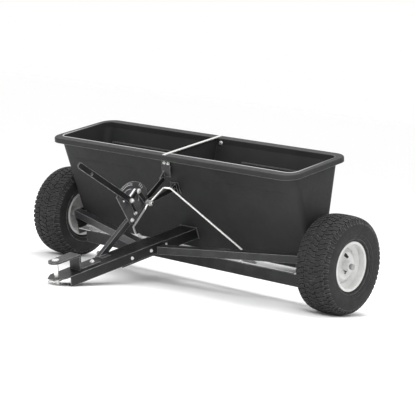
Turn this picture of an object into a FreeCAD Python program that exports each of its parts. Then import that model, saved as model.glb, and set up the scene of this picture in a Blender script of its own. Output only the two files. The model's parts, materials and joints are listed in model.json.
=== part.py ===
import FreeCAD, Part
import math
import os

# Tow-behind drop spreader: a moulded hopper on two lawn tyres, a channel tongue with a pin hitch,
# and a hand lever that slides a closure plate under the row of metering holes.
# Everything is first modelled level, from the middle of the axle: X across, -Y towards the tow vehicle, +Z up.
# At the end it is tipped about the axle until the tongue's nose rests on the floor, as it parks.
# All lengths are in millimetres.

V = FreeCAD.Vector
os.makedirs("parts", exist_ok=True)

# ---------------------------------------------------------------- driving dimensions
# wheels, 13 x 5.00-6
tyre_radius = 165.0
tyre_width = 131.0
tyre_wall = 8.0
crown_drop = 4.0
bead_radius = 77.0
rim_flange_height = 6.0
rim_width = 104.0
rim_sheet = 2.5
rim_well_depth = 15.0
rim_face = 14.0
hub_wall = 7.5
hub_length = 92.0
tyre_clearance = 12.5

# axle and bearings
axle_radius = 9.5
axle_stub = 10.2
running_gap = 0.05
end_play = 0.3
bushing_wall = 4.0
bushing_lip = 6.5
bushing_flange = 3.0
hub_washer_sheet = 2.5
stir_radius = 18.0
stir_pin_radius = 2.5

# hopper
floor_half_length = 525.0
floor_half_depth = 22.5
floor_bottom = -35.0
floor_corner = 8.0
end_taper = 7.0
wall_half_depth = 127.5
wall_top = 305.0
wall_corner = 34.0
hopper_wall = 4.5
hopper_centre = 3.5
lip_height = 20.0
lip_skirt = 17.0
lip_overhang_end = 19.0
lip_overhang_side = 32.5
lip_corner = 53.0
lip_round = 5.0
hole_pitch = 50.0
hole_length = 14.0
hole_width = 9.0

# divider
divider_sheet = 3.0
divider_clearance = 22.0
divider_fit = 0.3
strip_width = 13.0
strip_sheet = 3.0

# plates and rails under the hopper
steel = 3.0
metering_sheet = 3.0
metering_margin = 4.0
closure_sheet = 2.0
closure_gap = 0.3
closure_end_gap = 6.0
closure_setback = 4.0
rail_offset = 43.0
rail_height = 44.0
rail_flange = 24.0
rail_overlap = 20.0
foot_width = 58.0

# axle brackets at the ends
bracket_gap = 3.0
bracket_shoulder = 38.0
ear_length = 34.0

# tongue
tongue_half_width = 38.0
tongue_top = 47.0
tongue_depth = 34.0
tongue_nose = -660.0
hitch_plate_reach = 52.0
front_tongue_end = -215.0
rear_tongue_start = -420.0
rear_tongue_low = 7.0
nesting_gap = 0.1
seat_margin = 3.0

# hitch
pin_radius = 8.0
pin_reach = 26.0
pin_tail = 24.0
hitch_gap = 48.0
hitch_strap_width = 48.0
hitch_strap_sheet = 6.0
hitch_setback = 64.0
hitch_foot = 87.0
hairpin_radius = 1.5

# braces
brace_top = 34.0
brace_width = 28.0
brace_leg = 26.0
brace_front_at_tongue = -251.0
brace_front_at_bracket = -77.831
brace_end_gap = 2.0

# control linkage, in the Y-Z plane: its points are given from the lever's pivot
lever_pivot_y = -308.0
lever_pivot_drop = 121.0
crank_offset = (35.0, 25.0)
rod_pin_offset = (67.0, -22.0)
lever_end_offset = (-220.0, 171.0)
lever_hole_offset = (-173.0, 132.0)
post_bolt_offset = (4.0, -71.0)
rocker_drop = 8.0
rocker_standoff = 15.661765
lever_travel = 14.0
lever_width = 20.0
lever_sheet = 5.0
lever_hole_radius = 4.5
link_width = 16.0
link_sheet = 4.0
rocker_width = 18.0
gauge_face = -20.0
gauge_corner = 66.0
gauge_crown = 62.0
gauge_reach = 87.0
slot_margin = 8.0
pivot_radius = 4.0
pin_play = 0.05
slot_play = 1.0
drift_play = 0.8
plate_gap = 0.8

# control rods
rod_radius = 3.5
rod_bend = 9.0
rod_eye_radius = 9.5
rod_eye_width = 8.0
rod_spacing = 11.0
rod_hook_x = 237.0
hook_reach = 12.0
tab_height = 15.3
tab_radius = 7.0
tab_sheet = 3.0

# post and upper strap
post_width = 20.0
post_depth = 15.0
post_foot = -453.0
post_foot_length = 38.0
bracket_width = 37.0
bracket_height = 54.0
bracket_drop = 11.0
strap_bar = 18.0
strap_drop = 10.0
strap_setback = 14.270588

# ---------------------------------------------------------------- worked-out sizes
slope = (wall_half_depth - floor_half_depth) / (wall_top - floor_bottom)
wall_half_length = floor_half_length + end_taper
lip_half_length = wall_half_length + lip_overhang_end
lip_half_depth = wall_half_depth + lip_overhang_side
lip_top = wall_top + lip_height
divider_bottom = stir_radius + divider_clearance

bracket_inner = floor_half_length + bracket_gap
bracket_outer = bracket_inner + steel
foot_inner = bracket_inner - foot_width
closure_half_length = foot_inner - closure_end_gap
hole_count = int(2 * (closure_half_length - hole_length / 2 - 4) / hole_pitch)
rail_half_length = foot_inner + rail_overlap
rail_front_face = hopper_centre - floor_half_depth - rail_offset
rail_rear_face = hopper_centre + floor_half_depth + rail_offset

metering_bottom = floor_bottom - metering_sheet
closure_top = metering_bottom - closure_gap
closure_bottom = closure_top - closure_sheet
rail_top = closure_bottom - closure_gap
closure_front = rail_front_face + closure_setback
tab_y = closure_front + tab_radius + 1
tab_z = closure_top + tab_height

track_half = bracket_outer + tyre_clearance + tyre_width / 2
hub_radius = axle_radius + hub_wall
hub_inner = track_half - hub_length / 2
hub_outer = track_half + hub_length / 2
axle_half = hub_outer + end_play + hub_washer_sheet + axle_stub
bushing_radius = axle_radius + bushing_wall

pin_y = tongue_nose - pin_reach
hitch_upright = tongue_nose + hitch_setback
rear_tongue_top = tongue_top - steel - nesting_gap
rear_tongue_half = tongue_half_width - steel - nesting_gap
brace_inner_x = tongue_half_width + 0.2
brace_outer_x = bracket_inner - brace_end_gap
brace_slope = (brace_front_at_bracket - brace_front_at_tongue) / (brace_outer_x - brace_inner_x)

lever_x = gauge_face + plate_gap
link_x = lever_x + lever_sheet + plate_gap
rocker_x = link_x + link_sheet + plate_gap
rocker_outer = rocker_x + lever_sheet
gauge_back = gauge_face - steel
def wall_front(z):
    """Y of the hopper's front wall, on its outside."""
    return hopper_centre - floor_half_depth - slope * (z - floor_bottom)


def brace_front(x):
    """Y of a brace's front edge, x out from the middle."""
    return brace_front_at_tongue + brace_slope * (x - brace_inner_x)


def from_pivot(offset):
    """A point of the linkage in Y and Z, from its offset to the lever's pivot."""
    return (lever_pivot[0] + offset[0], lever_pivot[1] + offset[1])


lever_pivot = (lever_pivot_y, lip_top - lever_pivot_drop)
crank_pin = from_pivot(crank_offset)
rod_pin = from_pivot(rod_pin_offset)
lever_end = from_pivot(lever_end_offset)
lever_hole = from_pivot(lever_hole_offset)
post_bolt = from_pivot(post_bolt_offset)
rocker_height = lever_pivot[1] - rocker_drop
rocker_pivot = (wall_front(rocker_height) - rocker_standoff, rocker_height)
slot_radius = math.dist(lever_pivot, crank_pin)
crank_angle = math.degrees(math.atan2(crank_offset[1], crank_offset[0]))
bracket_top = lip_top - lip_skirt - bracket_drop
bracket_bottom = bracket_top - bracket_height
bracket_back = wall_front(bracket_top) - 0.2
strap_bolt = (bracket_back - strap_setback, bracket_bottom - strap_drop)


# ---------------------------------------------------------------- how the linkage moves
def turned(point, centre, degrees):
    a = math.radians(degrees)
    y, z = point[0] - centre[0], point[1] - centre[1]
    return (centre[0] + y * math.cos(a) - z * math.sin(a), centre[1] + y * math.sin(a) + z * math.cos(a))


def rod_pin_at(lever_degrees):
    """Where the link holds the rod pin, on the rocker's circle, for a lever angle."""
    crank = turned(crank_pin, lever_pivot, lever_degrees)
    link, arm = math.dist(crank_pin, rod_pin), math.dist(rocker_pivot, rod_pin)
    span = math.dist(crank, rocker_pivot)
    along = (link ** 2 - arm ** 2 + span ** 2) / (2 * span)
    off = math.sqrt(link ** 2 - along ** 2)
    uy, uz = (rocker_pivot[0] - crank[0]) / span, (rocker_pivot[1] - crank[1]) / span
    return (crank[0] + uy * along + uz * off, crank[1] + uz * along - uy * off)


def rod_eye_x(side):
    """X of a rod's eye on the rod pin: the left rod's next to the rocker, the right rod's outside it."""
    nearest = rocker_outer + 1.0 + rod_eye_width / 2
    return nearest if side < 0 else nearest + rod_spacing


def plate_slide(lever_degrees, side=1):
    """How far the rods have pushed the closure plate back, for a lever angle."""
    across = side * rod_hook_x - rod_eye_x(side)
    length = math.dist((across, tab_y, tab_z), (0, rod_pin[0], rod_pin[1]))
    y, z = rod_pin_at(lever_degrees)
    return y - tab_y + math.sqrt(length ** 2 - across ** 2 - (tab_z - z) ** 2)


closure_travel = plate_slide(-lever_travel)
closure_rear = rail_rear_face - closure_travel - 1


# ---------------------------------------------------------------- helpers
def box(x0, x1, y0, y1, z0, z1):
    return Part.makeBox(x1 - x0, y1 - y0, z1 - z0, V(x0, y0, z0))


def rod_between(p, q, r):
    p, q = V(*p), V(*q)
    return Part.makeCylinder(r, (q - p).Length, p, q - p)


def x_rod(yz, x0, x1, r):
    return rod_between((x0, yz[0], yz[1]), (x1, yz[0], yz[1]), r)


def side_plate(points, x0, x1):
    """A flat plate standing in the Y-Z plane, from its outline."""
    wire = Part.makePolygon([V(x0, y, z) for y, z in points + points[:1]])
    return Part.Face(wire).extrude(V(x1 - x0, 0, 0))


def flat_plate(points, z0, z1):
    """A flat plate lying level, from its outline in X and Y."""
    wire = Part.makePolygon([V(x, y, z0) for x, y in points + points[:1]])
    return Part.Face(wire).extrude(V(0, 0, z1 - z0))


def bar_outline(p, q, width):
    """The four corners of a bar of that width between two Y-Z points."""
    length = math.dist(p, q)
    uy, uz = (q[0] - p[0]) / length, (q[1] - p[1]) / length
    half = width / 2
    return [(p[0] - uz * half, p[1] + uy * half), (q[0] - uz * half, q[1] + uy * half),
            (q[0] + uz * half, q[1] - uy * half), (p[0] + uz * half, p[1] - uy * half)]


def bar_link(p, q, width, x0, x1):
    """A flat bar with rounded ends between two Y-Z points."""
    bar = side_plate(bar_outline(p, q, width), x0, x1)
    return bar.fuse([x_rod(p, x0, x1, width / 2), x_rod(q, x0, x1, width / 2)]).removeSplitter()


def rounded_rectangle(half_x, half_y, corner, z, centre_y=hopper_centre):
    """A closed wire at height z, four lines and four arcs."""
    arcs = []
    k = corner * math.sqrt(0.5)
    for sx, sy in ((1, 1), (-1, 1), (-1, -1), (1, -1)):
        cx, cy = sx * (half_x - corner), centre_y + sy * (half_y - corner)
        a = V(cx + sx * corner, cy, z)
        b = V(cx, cy + sy * corner, z)
        if sx * sy < 0:
            a, b = b, a
        arcs.append(Part.Arc(a, V(cx + sx * k, cy + sy * k, z), b).toShape())
    closed = []
    for i, arc in enumerate(arcs):
        closed.append(arc)
        end = arc.Vertexes[-1].Point
        start = arcs[(i + 1) % 4].Vertexes[0].Point
        closed.append(Part.LineSegment(end, start).toShape())
    return Part.Wire(closed)


def ring_plate(half_x, half_y, corner, z0, z1):
    return Part.Face(rounded_rectangle(half_x, half_y, corner, z0)).extrude(V(0, 0, z1 - z0))


def mirror_x(shape):
    return shape.mirror(V(0, 0, 0), V(1, 0, 0))


def bent_rod(points, radius, bend):
    """A round rod along straight runs joined by tangent arcs."""
    pts = [V(*p) for p in points]
    edges = []
    start = pts[0]
    for before, corner, after in zip(pts, pts[1:], pts[2:]):
        a = (before - corner).normalize()
        b = (after - corner).normalize()
        half_angle = a.getAngle(b) / 2
        setback = bend / math.tan(half_angle)
        p, q = corner + a * setback, corner + b * setback
        bisector = (a + b).normalize()
        middle = corner + bisector * (bend / math.sin(half_angle) - bend)
        edges.append(Part.LineSegment(start, p).toShape())
        edges.append(Part.Arc(p, middle, q).toShape())
        start = q
    edges.append(Part.LineSegment(start, pts[-1]).toShape())
    path = Part.Wire(edges)
    profile = Part.Wire([Part.Circle(pts[0], pts[1] - pts[0], radius).toShape()])
    return path.makePipeShell([profile], True, False)


# ---------------------------------------------------------------- wheels and axle
def revolve_about_axle(points, arcs=()):
    """Turn a profile of (x, radius) points about the axle; arcs gives an edge's middle point by its index."""
    arcs = dict(arcs)
    pts = [V(x, 0, r) for x, r in points]
    edges = []
    for i, p in enumerate(pts):
        q = pts[(i + 1) % len(pts)]
        if i in arcs:
            x, r = arcs[i]
            edges.append(Part.Arc(p, V(x, 0, r), q).toShape())
        else:
            edges.append(Part.LineSegment(p, q).toShape())
    face = Part.Face(Part.Wire(edges))
    return face.revolve(V(0, 0, 0), V(1, 0, 0), 360)


def tyre_profile(half_width, radius, foot):
    """One outline of the tyre from bead to bead: sidewall, shoulder, flat crown, shoulder, sidewall."""
    crown = half_width - 20
    shoulder = radius - 22
    bead_top = bead_radius + rim_flange_height + 1.5
    side = (bead_top + shoulder) / 2 + 4
    points = [(-foot, bead_radius), (-foot, bead_top), (-half_width + 2, shoulder), (-crown, radius - crown_drop),
              (crown, radius - crown_drop), (half_width - 2, shoulder), (foot, bead_top), (foot, bead_radius)]
    middles = {1: (-half_width, side), 2: (-half_width + 7.5, radius - 8.5), 3: (0, radius),
               4: (half_width - 7.5, radius - 8.5), 5: (half_width, side)}
    return points, middles


def tyre(side):
    """A hollow tyre with its beads between the rim's flanges."""
    centre = side * track_half
    foot = rim_width / 2 - rim_sheet - 1.0
    outer, outer_arcs = tyre_profile(tyre_width / 2, tyre_radius, foot)
    inner, inner_arcs = tyre_profile(tyre_width / 2 - tyre_wall, tyre_radius - tyre_wall - 2, foot - tyre_wall)
    points = [(centre + x, r) for x, r in outer + inner[::-1]]
    arcs = {i: (centre + x, r) for i, (x, r) in outer_arcs.items()}
    for i, (x, r) in inner_arcs.items():
        arcs[len(points) - 2 - i] = (centre + x, r)
    return revolve_about_axle(points, arcs)


def rim(side):
    """A pressed rim: flanges, bead seats, a well, and a dished disc welded to the hub tube."""
    c = side * track_half
    half = rim_width / 2
    s = rim_sheet
    seat = bead_radius - 0.3
    flange = bead_radius + rim_flange_height
    well = bead_radius - rim_well_depth
    top = [(-half, flange), (-half + s, flange), (-half + s, seat), (-half + 22, seat), (-half + 32, well),
           (half - 32, well), (half - 22, seat), (half - s, seat), (half - s, flange), (half, flange)]
    bottom = [(half, seat - s), (half - 23, seat - s), (half - 33, well - s),
              (-half + 33, well - s), (-half + 23, seat - s), (-half, seat - s)]
    barrel = revolve_about_axle([(c + x, r) for x, r in top + bottom])
    face = side * rim_face
    ridge = (well + hub_radius) / 2 + 5
    dish = [(face, well - s + 0.5), (face + side * 3, well - s + 0.5), (face + side * 16, ridge),
            (face + side * 12, hub_radius + 9), (face + side * 12, hub_radius - 1),
            (face + side * 9, hub_radius - 1), (face + side * 9, hub_radius + 9), (face + side * 13, ridge)]
    disc = revolve_about_axle([(c + x, r) for x, r in dish])
    bore = axle_radius + running_gap
    hub = revolve_about_axle([(c - hub_length / 2, bore), (c - hub_length / 2, hub_radius),
                              (c + hub_length / 2, hub_radius), (c + hub_length / 2, bore)])
    return barrel.fuse([disc, hub]).removeSplitter()


def hole_positions():
    return [(i - (hole_count - 1) / 2) * hole_pitch for i in range(hole_count)]


def axle():
    """The through axle with a stir pin over each metering hole, every second one turned by 90 degrees."""
    shaft = x_rod((0, 0), -axle_half, axle_half, axle_radius)
    pins = []
    for i, x in enumerate(hole_positions()):
        y, z = (stir_radius, 0) if i % 2 else (0, stir_radius)
        pins.append(rod_between((x, -y, -z), (x, y, z), stir_pin_radius))
    return shaft.fuse(pins).removeSplitter()


def axle_bushing(side):
    """A flanged bushing in the axle bracket and hopper end."""
    start = bracket_inner - 8
    end = bracket_outer + bushing_flange
    bore = axle_radius + running_gap
    tube = revolve_about_axle([(start, bore), (start, bushing_radius), (bracket_outer, bushing_radius),
                               (bracket_outer, bushing_radius + bushing_lip), (end, bushing_radius + bushing_lip),
                               (end, bore)])
    return tube if side > 0 else mirror_x(tube)


def collar(x0, x1, outer):
    bore = axle_radius + running_gap
    return revolve_about_axle([(x0, bore), (x0, outer), (x1, outer), (x1, bore)])


def axle_spacer(side):
    """The spacer tube on the axle between the bushing and the wheel hub."""
    tube = collar(bracket_outer + bushing_flange + end_play, hub_inner - end_play, hub_radius - 3)
    return tube if side > 0 else mirror_x(tube)


def hub_washer(side):
    """The outer washer that keeps the wheel on the axle."""
    start = hub_outer + end_play
    washer = collar(start, start + hub_washer_sheet, hub_radius)
    return washer if side > 0 else mirror_x(washer)


# ---------------------------------------------------------------- hopper
def hopper_form(inset, bottom):
    """The tapered body of the hopper as a solid, drawn in by a wall thickness."""
    rise = bottom - floor_bottom
    half_depth = floor_half_depth + slope * rise
    half_length = floor_half_length + end_taper * rise / (wall_top - floor_bottom)
    lower = rounded_rectangle(half_length - inset, half_depth - inset, max(floor_corner - inset, 2.0), bottom)
    upper = rounded_rectangle(wall_half_length - inset, wall_half_depth - inset, wall_corner - inset, wall_top)
    body = Part.makeLoft([lower, upper], True, True)
    neck = ring_plate(wall_half_length - inset, wall_half_depth - inset, wall_corner - inset,
                      wall_top, lip_top + (1 if inset else 0))
    return body.fuse(neck)


def metering_holes(z0, z1, shift=0.0):
    """Oval outlet holes in a row along the floor."""
    holes = []
    half = (hole_length - hole_width) / 2
    y = hopper_centre + shift
    for x in hole_positions():
        holes.append(box(x - half, x + half, y - hole_width / 2, y + hole_width / 2, z0, z1))
        for end in (x - half, x + half):
            holes.append(Part.makeCylinder(hole_width / 2, z1 - z0, V(end, y, z0)))
    return Part.makeCompound(holes)


def hopper():
    """The moulded hopper: V body, flared and rolled lip, row of outlet holes, axle holes."""
    lip = ring_plate(lip_half_length, lip_half_depth, lip_corner, lip_top - lip_skirt, lip_top)
    rim_edges = [e for e in lip.Edges if e.BoundBox.ZMin > lip_top - 0.1]
    lip = lip.makeFillet(lip_round, rim_edges)
    under = ring_plate(lip_half_length - hopper_wall, lip_half_depth - hopper_wall, lip_corner - hopper_wall,
                       lip_top - lip_skirt - 1, lip_top - hopper_wall)
    lip = lip.cut(under)
    shell = hopper_form(0, floor_bottom).fuse(lip).cut(hopper_form(hopper_wall, floor_bottom + hopper_wall))
    shell = shell.cut(metering_holes(floor_bottom - 1, floor_bottom + hopper_wall + 1))
    return shell.cut(x_rod((0, 0), -bracket_outer, bracket_outer, bushing_radius + end_play))


def divider():
    """The panel between the two compartments, clear of the stir pins."""
    gap = (hopper_wall + divider_fit) * math.hypot(1, slope)
    low = floor_half_depth + slope * (divider_bottom - floor_bottom) - gap
    high = wall_half_depth - gap
    c, top = hopper_centre, lip_top
    outline = [(c - low, divider_bottom), (c + low, divider_bottom), (c + high, wall_top), (c + high, top),
               (c - high, top), (c - high, wall_top)]
    return side_plate(outline, -divider_sheet / 2, divider_sheet / 2)


def divider_strip():
    """The plated cross strip on the lips over the divider."""
    half = lip_half_depth - lip_round - 3
    w = strip_width / 2
    return box(-w, w, hopper_centre - half, hopper_centre + half, lip_top, lip_top + strip_sheet)


# ---------------------------------------------------------------- under the hopper
def metering_plate():
    """The fixed plated strip under the hopper floor, with the metering holes."""
    half = floor_half_depth + metering_margin
    plate = box(-bracket_inner + 1, bracket_inner - 1, hopper_centre - half, hopper_centre + half,
                metering_bottom, floor_bottom)
    return plate.cut(metering_holes(metering_bottom - 1, floor_bottom + 1))


def closure_plate():
    """The sliding plate: same row of holes, one travel in front when shut, with a tab for each rod."""
    plate = box(-closure_half_length, closure_half_length, closure_front, closure_rear, closure_bottom, closure_top)
    plate = plate.cut(metering_holes(closure_bottom - 1, closure_top + 1, -closure_travel))
    tabs = []
    for side in (-1, 1):
        x = side * rod_hook_x
        x0, x1 = x - tab_sheet / 2, x + tab_sheet / 2
        tab = box(x0, x1, tab_y - tab_radius, tab_y + tab_radius, closure_top - 1, tab_z)
        tab = tab.fuse(x_rod((tab_y, tab_z), x0, x1, tab_radius))
        tabs.append(tab.cut(x_rod((tab_y, tab_z), x0 - 1, x1 + 1, rod_radius + drift_play)))
    return plate.fuse(tabs).removeSplitter()


def cross_rail(front):
    """A C-section rail across the machine, open towards the middle."""
    face = rail_front_face if front else rail_rear_face
    inward = 1 if front else -1
    web = sorted((face, face + inward * steel))
    flange = sorted((face, face + inward * rail_flange))
    length = rail_half_length
    low = rail_top - rail_height
    body = box(-length, length, web[0], web[1], low, rail_top)
    top = box(-length, length, flange[0], flange[1], rail_top - steel, rail_top)
    bottom = box(-length, length, flange[0], flange[1], low, low + steel)
    return body.fuse([top, bottom]).removeSplitter()


def end_foot(side):
    """The plated foot between the metering plate and both rails, out to the axle bracket."""
    plate = box(foot_inner, bracket_inner, rail_front_face, rail_rear_face, rail_top, metering_bottom)
    return plate if side > 0 else mirror_x(plate)


def axle_bracket(side):
    """The steel side plate that carries the axle and takes the brace on its front ear."""
    low = rail_top - 20
    under_brace = brace_top - steel
    tip = brace_front(bracket_inner)
    outline = [(rail_front_face, low), (rail_rear_face, low), (rail_rear_face, 0), (bracket_shoulder, brace_top),
               (tip, brace_top), (tip, brace_top - brace_leg), (rail_front_face - 6, -15)]
    plate = side_plate(outline, bracket_inner, bracket_outer)
    ear_front = tip + steel * math.hypot(1, brace_slope) + 1
    ear = box(bracket_inner - ear_length, bracket_inner, ear_front, tip + brace_width, under_brace - steel, under_brace)
    plate = plate.fuse(ear).removeSplitter()
    plate = plate.cut(x_rod((0, 0), bracket_inner - 1, bracket_outer + 1, bushing_radius + 0.1))
    return plate if side > 0 else mirror_x(plate)


# ---------------------------------------------------------------- tongue, hitch and braces
def tongue_front():
    """The front channel of the tongue, its top web running on past the sides as the lower hitch plate."""
    w = tongue_half_width
    low = tongue_top - tongue_depth
    outer = box(-w, w, tongue_nose, front_tongue_end, low, tongue_top)
    inner = box(-w + steel, w - steel, tongue_nose - 1, front_tongue_end + 1, low - 1, tongue_top - steel)
    front = tongue_nose - hitch_plate_reach
    lip = flat_plate([(-w, tongue_nose + 8), (w, tongue_nose + 8), (w, tongue_nose - 20), (w * 0.42, front),
                      (-w * 0.42, front), (-w, tongue_nose - 20)], tongue_top - steel, tongue_top)
    hole = Part.makeCylinder(pin_radius + 0.5, 20, V(0, pin_y, tongue_top - 10))
    return outer.cut(inner).fuse(lip).removeSplitter().cut(hole)


def tongue_rear():
    """The rear channel of the tongue, nested inside the front one and running back to the seat."""
    def end(z):
        return wall_front(z) - 0.2 - steel
    w, top, low = rear_tongue_half, rear_tongue_top, rear_tongue_low
    outline = [(rear_tongue_start, top), (end(top), top), (end(low), low), (rear_tongue_start, low)]
    inner = box(-w + steel, w - steel, rear_tongue_start - 1, 0, low - 1, top - steel)
    return side_plate(outline, -w, w).cut(inner)


def wall_plate(z0, z1, x0, x1):
    """A plate lying on the hopper's front wall."""
    outline = [(wall_front(z0) - 0.2, z0), (wall_front(z1) - 0.2, z1),
               (wall_front(z1) - 0.2 - steel, z1), (wall_front(z0) - 0.2 - steel, z0)]
    return side_plate(outline, x0, x1)


def tongue_seat():
    """The plate on the hopper's front wall that the tongue's rear end is welded to."""
    half = rear_tongue_half + seat_margin
    return wall_plate(rear_tongue_low - seat_margin, rear_tongue_top + seat_margin, -half, half)


def hitch_strap():
    """The bent upper hitch strap: foot on the tongue, upright, and arm over the pin."""
    w = hitch_strap_width / 2
    t = hitch_strap_sheet
    z0 = tongue_top
    z1 = tongue_top + hitch_gap
    foot = box(-w, w, hitch_upright - t, hitch_upright + hitch_foot, z0, z0 + t)
    upright = box(-w, w, hitch_upright - t, hitch_upright, z0, z1 + t)
    arm = box(-w, w, pin_y, hitch_upright, z1, z1 + t)
    nose = Part.makeCylinder(w, t, V(0, pin_y, z1))
    strap = foot.fuse([upright, arm, nose]).removeSplitter()
    return strap.cut(Part.makeCylinder(pin_radius + 0.5, 20, V(0, pin_y, z1 - 5)))


def hitch_pin():
    """The hitch pin, dropped through both plates."""
    top = tongue_top + hitch_gap + hitch_strap_sheet
    foot = tongue_top - pin_tail
    pin = Part.makeCylinder(pin_radius, top - foot + 2, V(0, pin_y, foot))
    head = Part.makeCylinder(pin_radius + 4, 4, V(0, pin_y, top))
    cross = rod_between((-20, pin_y, foot + 7), (20, pin_y, foot + 7), hairpin_radius + 0.1)
    return pin.fuse(head).removeSplitter().cut(cross)


def hairpin():
    """The hairpin clip through the foot of the hitch pin."""
    z = tongue_top - pin_tail + 7
    y = pin_y
    reach = pin_radius + 12
    return bent_rod([(reach, y, z), (-reach - 6, y, z), (-reach - 14, y - 8, z), (-reach - 6, y - 16, z),
                     (-8, y - pin_radius - 3, z)], hairpin_radius, 3.5)


def brace(side):
    """An angle-section brace from the tongue's side out to the axle bracket."""
    x0, x1 = brace_inner_x, brace_outer_x
    run = math.hypot(1, brace_slope)
    y0, y1 = brace_front(x0), brace_front(x1)
    top = flat_plate([(x0, y0), (x1, y1), (x1, y1 + brace_width * run), (x0, y0 + brace_width * run)],
                     brace_top - steel, brace_top)
    leg = flat_plate([(x0, y0), (x1, y1), (x1, y1 + steel * run), (x0, y0 + steel * run)],
                     brace_top - brace_leg, brace_top)
    shape = top.fuse(leg).removeSplitter()
    return shape if side > 0 else mirror_x(shape)


# ---------------------------------------------------------------- control linkage
def gauge_point(degrees, radius):
    a = math.radians(degrees)
    return (lever_pivot[0] + radius * math.cos(a), lever_pivot[1] + radius * math.sin(a))


def gauge_plate():
    """The fan-shaped gauge plate with the arc slot that the crank pin rides in."""
    def at(p):
        return V(gauge_back, p[0], p[1])
    left, mid, right = gauge_point(159, gauge_corner), gauge_point(76, gauge_crown), gauge_point(12.5, gauge_reach)
    py, pz = post_bolt
    lower = [(rod_pin[0] + 20, rod_pin[1] + 6), (py + 21, pz - 3), (py + 9, pz - 18), (py - 8, pz - 12),
             (py - 21, pz + 11)]
    outline = [right] + lower + [left]
    edges = [Part.Arc(at(left), at(mid), at(right)).toShape()]
    edges += [Part.LineSegment(at(a), at(b)).toShape() for a, b in zip(outline, outline[1:])]
    plate = Part.Face(Part.Wire(edges)).extrude(V(steel, 0, 0))
    half = pivot_radius + slot_play
    a, b = crank_angle - lever_travel - slot_margin, crank_angle + slot_margin
    ends = []
    for angle, bulge in ((b, 1), (a, -1)):
        tip = gauge_point(angle + bulge * math.degrees(half / slot_radius), slot_radius)
        rims = [gauge_point(angle, slot_radius - bulge * half), gauge_point(angle, slot_radius + bulge * half)]
        ends.append((rims[0], tip, rims[1]))
    (b_in, b_tip, b_out), (a_out, a_tip, a_in) = ends
    middle = (a + b) / 2
    slot = [(b_in, b_tip, b_out), (b_out, gauge_point(middle, slot_radius + half), a_out),
            (a_out, a_tip, a_in), (a_in, gauge_point(middle, slot_radius - half), b_in)]
    slot = Part.Face(Part.Wire([Part.Arc(at(p), at(q), at(r)).toShape() for p, q, r in slot]))
    plate = plate.cut(slot.extrude(V(steel, 0, 0)))
    return plate.cut(x_rod(lever_pivot, gauge_back - 1, gauge_face + 1, pivot_radius))


def pivot_bolt():
    """The lever's pivot bolt, fixed in the gauge plate."""
    outer = lever_x + lever_sheet + 0.5
    shank = x_rod(lever_pivot, gauge_back, outer + 1, pivot_radius)
    back = x_rod(lever_pivot, gauge_back - 4, gauge_back, pivot_radius + 3)
    head = x_rod(lever_pivot, outer, outer + 4.5, pivot_radius + 3)
    return shank.fuse([back, head]).removeSplitter()


def control_lever():
    """The flat lever, its crank lug and the crank pin that runs in the gauge slot."""
    end = lever_x + lever_sheet
    arm = bar_link(lever_pivot, lever_end, lever_width, lever_x, end)
    lug = bar_link(lever_pivot, crank_pin, link_width, lever_x, end)
    body = arm.fuse(lug)
    body = body.cut(x_rod(lever_pivot, lever_x - 1, end + 1, pivot_radius + pin_play))
    body = body.cut(x_rod(lever_hole, lever_x - 1, end + 1, lever_hole_radius))
    pin = x_rod(crank_pin, gauge_back - 3, link_x + link_sheet + 2, pivot_radius)
    return body.fuse(pin).removeSplitter()


def control_link():
    """The short link from the crank pin to the rod pin on the rocker."""
    end = link_x + link_sheet
    bar = bar_link(crank_pin, rod_pin, link_width, link_x, end)
    bar = bar.cut(x_rod(crank_pin, link_x - 1, end + 1, pivot_radius + pin_play))
    return bar.cut(x_rod(rod_pin, link_x - 1, end + 1, pivot_radius + drift_play))


def rocker():
    """The rocker arm from the hopper's front bracket to the pin that carries both rods."""
    bar = bar_link(rocker_pivot, rod_pin, rocker_width, rocker_x, rocker_outer)
    bar = bar.cut(x_rod(rocker_pivot, rocker_x - 1, rocker_outer + 1, pivot_radius + pin_play))
    pin = x_rod(rod_pin, link_x - 1.5, rod_eye_x(1) + rod_eye_width / 2 + 5, pivot_radius)
    return bar.fuse(pin).removeSplitter()


def rocker_bracket():
    """The clevis on the hopper's front wall that holds the rocker's rear pivot."""
    y, z = rocker_pivot
    pieces = []
    for x in (rocker_x - plate_gap - steel, rocker_outer + plate_gap):
        outline = [(y - 10, z - 10), (y - 10, z + 10), (wall_front(z + 18) - 0.4, z + 18),
                   (wall_front(z - 18) - 0.4, z - 18)]
        pieces.append(side_plate(outline, x, x + steel))
    reach = plate_gap + steel
    pieces.append(wall_plate(z - 22, z + 22, rocker_x - reach - 12, rocker_outer + reach + 12))
    bolt = x_rod(rocker_pivot, rocker_x - reach - 4, rocker_outer + reach + 4, pivot_radius)
    return bolt.fuse(pieces).removeSplitter()


def control_rod(side):
    """A bent rod from the rod pin down to its tab on the closure plate, with an eye at the top."""
    y, z = rod_pin
    x = rod_eye_x(side)
    hook = [(side * (rod_hook_x - hook_reach), tab_y, tab_z), (side * (rod_hook_x + hook_reach + 2), tab_y, tab_z)]
    if side < 0:
        path = hook + [(-rod_hook_x - hook_reach - 2, tab_y - 10, tab_z + 32),
                       (x, y - 20, z - 19.5), (x, y, z)]
    else:
        path = hook + [(rod_hook_x + hook_reach + 2, tab_y - 10, tab_z + 30), (x + 20, y + 81, z + 34),
                       (x + 3, y + 66, z + 38), (x, y, z + 5)]
    wire = bent_rod(path, rod_radius, rod_bend)
    half = rod_eye_width / 2
    eye = x_rod(rod_pin, x - half, x + half, rod_eye_radius)
    body = wire.fuse(eye).removeSplitter()
    return body.cut(x_rod(rod_pin, x - 12, x + 12, pivot_radius + 0.4))


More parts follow.
